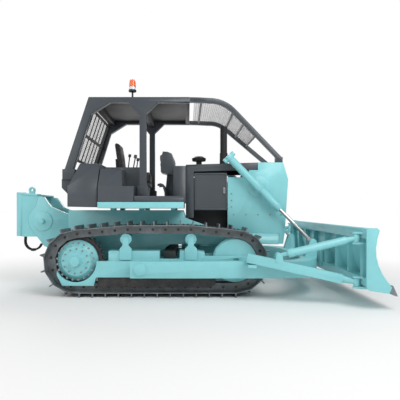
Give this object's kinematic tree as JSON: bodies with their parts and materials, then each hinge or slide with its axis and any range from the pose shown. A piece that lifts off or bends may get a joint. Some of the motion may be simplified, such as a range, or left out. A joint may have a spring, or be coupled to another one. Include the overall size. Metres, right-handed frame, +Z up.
{
  "type": "crawler bulldozer",
  "caption": "Tracked dozer with a straight blade on a push frame, a roll-over canopy with brush guards, and a rear winch with fairlead.",
  "frame": {"origin": "centre of the overall box at ground level, under the tracks", "axes": "+X forward to the blade, +Y to the machine's left, +Z up"},
  "size_m": [6.2, 4.365, 3.82],
  "materials": {
    "body_paint": "gloss turquoise paint",
    "dark_paint": "satin dark grey paint",
    "black_paint": "satin black paint",
    "track_steel": "worn bare steel",
    "chrome": "polished rod",
    "seat_vinyl": "matt black vinyl",
    "lamp_plastic": "amber lens"
  },
  "bodies": {
    "root": {"air_precleaner": "black_paint", "beacon": "lamp_plastic", "brush_guard": "dark_paint", "canopy_roof": "black_paint", "canopy_side_left": "dark_paint", "canopy_side_right": "dark_paint", "console_left": "dark_paint", "console_right": "dark_paint", "engine_block": "black_paint", "engine_hood": "dark_paint", "equalizer_bar": "black_paint", "exhaust_stack": "black_paint", "fairlead": "body_paint", "final_drive_left": "body_paint", "final_drive_right": "body_paint", "front_grille": "dark_paint", "fuel_tank": "dark_paint", "idler_left": "body_paint", "idler_right": "body_paint", "instrument_console": "dark_paint", "main_frame": "body_paint", "operator_deck": "body_paint", "radiator_core": "black_paint", "radiator_guard": "body_paint", "rear_screen": "black_paint", "seat_back": "seat_vinyl", "seat_base": "black_paint", "seat_cushion": "seat_vinyl", "side_box_left": "dark_paint", "side_box_right": "dark_paint", "sprocket_left": "body_paint", "sprocket_right": "body_paint", "step_plate_left": "dark_paint", "step_plate_right": "dark_paint", "track_frame_left": "body_paint", "track_frame_right": "body_paint", "track_left": "track_steel", "track_right": "track_steel", "track_rollers_left": "body_paint", "track_rollers_right": "body_paint", "transmission_case": "black_paint", "winch_case": "body_paint", "winch_hoses": "black_paint"},
    "blade_frame": {"blade": "body_paint", "blade_brace_left": "body_paint", "blade_brace_right": "body_paint", "cutting_edge": "body_paint", "push_arm_left": "body_paint", "push_arm_right": "body_paint", "push_frame": "body_paint"},
    "lift_cylinder_right": {"lift_cylinder_right": "body_paint"},
    "lift_cylinder_left": {"lift_cylinder_left": "body_paint"},
    "lift_rod_right": {"lift_rod_right": "chrome"},
    "lift_rod_left": {"lift_rod_left": "chrome"},
    "engine_door_right": {"engine_door_right": "dark_paint"},
    "engine_door_left": {"engine_door_left": "dark_paint"},
    "winch_drum": {"winch_drum": "track_steel"}
  },
  "joints": [
    {"name": "blade_lift", "type": "hinge", "parent": "root", "child": "blade_frame", "pos_m": [-0.665, 0, 0.5], "axis": [0, -1, 0], "range_deg": [-11.4, 15.2]},
    {"name": "lift_cylinder_right_pivot", "type": "hinge", "parent": "root", "child": "lift_cylinder_right", "pos_m": [1.328, -0.75, 1.872], "axis": [0, -1, 0], "range_deg": [-16, 21.2]},
    {"name": "lift_rod_right_slide", "type": "slide", "parent": "lift_cylinder_right", "child": "lift_rod_right", "axis": [0.6988, 0, -0.7153], "range_m": [-0.605, 0.456]},
    {"name": "lift_cylinder_left_pivot", "type": "hinge", "parent": "root", "child": "lift_cylinder_left", "pos_m": [1.328, 0.75, 1.872], "axis": [0, -1, 0], "range_deg": [-16, 21.2]},
    {"name": "lift_rod_left_slide", "type": "slide", "parent": "lift_cylinder_left", "child": "lift_rod_left", "axis": [0.6988, 0, -0.7153], "range_m": [-0.605, 0.456]},
    {"name": "engine_door_right_hinge", "type": "hinge", "parent": "root", "child": "engine_door_right", "pos_m": [0.215, -0.58, 1.78], "axis": [0, 0, -1], "range_deg": [0, 100]},
    {"name": "engine_door_left_hinge", "type": "hinge", "parent": "root", "child": "engine_door_left", "pos_m": [0.215, 0.58, 1.78], "axis": [0, 0, 1], "range_deg": [0, 100]},
    {"name": "winch_drum_spin", "type": "hinge", "parent": "root", "child": "winch_drum", "pos_m": [-2.59, 0, 1.235], "axis": [0, 1, 0], "continuous": true}
  ],
  "couplings": [
    {"joint": "lift_cylinder_right_pivot", "follows": "blade_lift", "ratio": 1.38},
    {"joint": "lift_rod_right_slide", "follows": "blade_lift", "m_per_rad": -2.26},
    {"joint": "lift_cylinder_left_pivot", "follows": "blade_lift", "ratio": 1.38},
    {"joint": "lift_rod_left_slide", "follows": "blade_lift", "m_per_rad": -2.26}
  ]
}
